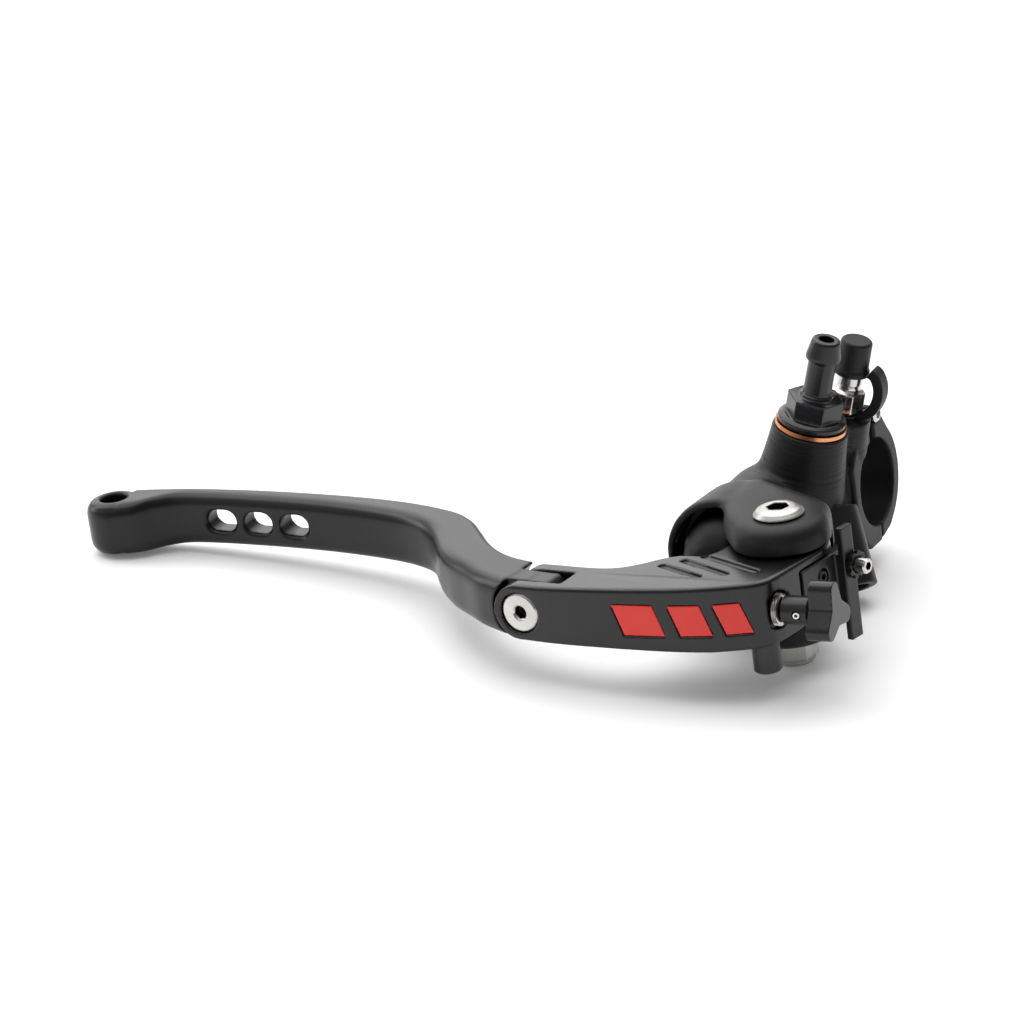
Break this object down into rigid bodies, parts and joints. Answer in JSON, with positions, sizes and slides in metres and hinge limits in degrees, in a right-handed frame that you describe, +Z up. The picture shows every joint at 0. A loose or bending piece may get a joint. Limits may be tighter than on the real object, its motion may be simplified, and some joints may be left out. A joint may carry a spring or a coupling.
{
  "type": "radial brake master cylinder and folding lever",
  "caption": "Radial motorcycle brake master cylinder with handlebar clamp, barbed inlet, bleed screw and a folding, reach-adjustable lever.",
  "frame": {"origin": "centre of the handlebar bore in the clamp", "axes": "+X inboard along the handlebar, +Y towards the rider, +Z up along the lever's pivot bolt"},
  "size_m": [0.2227, 0.1091, 0.0676],
  "materials": {
    "body_black": "bead blasted, black anodised, satin",
    "lever_black": "smooth black anodised, satin gloss",
    "fitting_black": "turned, black anodised",
    "bore_aluminium": "hard anodised, plain",
    "stainless": "polished stainless steel",
    "dark_steel": "blackened steel",
    "bronze": "sintered bronze",
    "copper": "bright copper",
    "rubber": "matte rubber",
    "red_enamel": "gloss red fill",
    "nylon": "nylon"
  },
  "bodies": {
    "master_cylinder": {"cylinder_body": "body_black", "clamp_cap": "body_black", "clamp_bolt_upper": "stainless", "clamp_bolt_lower": "stainless", "inlet_fitting": "fitting_black", "inlet_washer": "copper", "bleed_strap": "rubber", "pivot_bolt": "stainless", "pivot_nut": "stainless", "pivot_nut_insert": "nylon", "piston_clip": "dark_steel", "dust_boot": "rubber", "piston_spring": "stainless"},
    "bleeder": {"bleed_screw": "stainless"},
    "bleeder_cap": {"bleed_cap": "rubber"},
    "piston_group": {"piston": "bore_aluminium", "primary_seal": "rubber", "secondary_seal": "rubber", "pushrod": "stainless"},
    "lever": {"lever_knuckle": "lever_black", "pivot_bush": "bronze", "switch_plate": "fitting_black", "plate_screw": "dark_steel", "stop_screw": "stainless", "stop_nut": "dark_steel", "hinge_screw": "stainless", "hinge_nut": "stainless", "red_inlay_1": "red_enamel", "red_inlay_2": "red_enamel", "red_inlay_3": "red_enamel"},
    "blade": {"lever_blade": "lever_black", "hinge_bush": "bronze"},
    "reach_knob": {"adjuster_knob": "lever_black", "adjuster_sleeve": "fitting_black", "adjuster_pin": "stainless", "adjuster_ring": "stainless", "adjuster_shaft": "stainless"},
    "reach_pin": {"reach_barrel": "dark_steel"}
  },
  "joints": [
    {"name": "lever_pull", "type": "hinge", "parent": "master_cylinder", "child": "lever", "pos_m": [0.01, -0.062, 0], "axis": [0, 0, -1], "range_deg": [0, 10], "stiffness_Nm_per_rad": 0.4, "springref_deg": -5.73},
    {"name": "piston_stroke", "type": "slide", "parent": "master_cylinder", "child": "piston_group", "axis": [0, 1, 0], "range_m": [0, 0.0034], "deforming": ["piston_spring", "dust_boot"]},
    {"name": "blade_fold", "type": "hinge", "parent": "lever", "child": "blade", "pos_m": [-0.0454, -0.0855, 0], "axis": [0.1392, 0.9903, 0], "range_deg": [0, 55], "stiffness_Nm_per_rad": 0.35, "springref_deg": -20.05},
    {"name": "adjuster_turn", "type": "hinge", "parent": "lever", "child": "reach_knob", "pos_m": [0.01, -0.0826, 0], "axis": [1, 0, 0], "range_deg": [-180, 180]},
    {"name": "barrel_turn", "type": "hinge", "parent": "lever", "child": "reach_pin", "pos_m": [0.012, -0.0826, 0], "axis": [0, 0, 1], "range_deg": [-10, 10]},
    {"name": "bleed_turn", "type": "hinge", "parent": "master_cylinder", "child": "bleeder", "pos_m": [-0.0007, -0.0068, 0], "axis": [0.2907, 0, 0.9568], "range_deg": [0, 360]},
    {"name": "bleed_cap_lift", "type": "slide", "parent": "master_cylinder", "child": "bleeder_cap", "axis": [0.2907, 0, 0.9568], "range_m": [0, 0.012]}
  ],
  "couplings": [
    {"joint": "piston_stroke", "follows": "lever_pull", "m_per_rad": 0.019},
    {"joint": "barrel_turn", "follows": "adjuster_turn", "ratio": 0.05}
  ]
}
